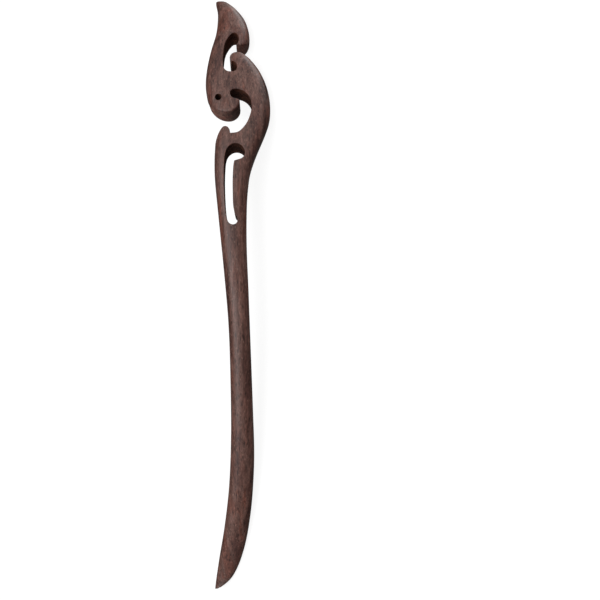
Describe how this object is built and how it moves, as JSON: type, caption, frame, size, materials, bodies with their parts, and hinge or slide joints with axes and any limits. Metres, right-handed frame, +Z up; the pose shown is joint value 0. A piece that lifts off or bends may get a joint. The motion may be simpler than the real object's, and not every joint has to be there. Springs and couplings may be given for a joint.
{
  "type": "hair stick",
  "caption": "Carved wooden hair stick, bowed along its length, with a plain tapering shaft and a flat head cut through as a bird under a curled leaf.",
  "frame": {"origin": "centre of the bounding box's base, on the surface that the stick lies on as it comes to rest by itself", "axes": "+Y runs along the stick from its point to the leaf at the end of its head, +Z is up, and the stick leans over so that its bowed face looks up and toward +X"},
  "size_m": [0.0222, 0.18, 0.0166],
  "materials": {
    "wood": "satin"
  },
  "bodies": {
    "root": {"hair_stick": "wood"}
  },
  "joints": []
}
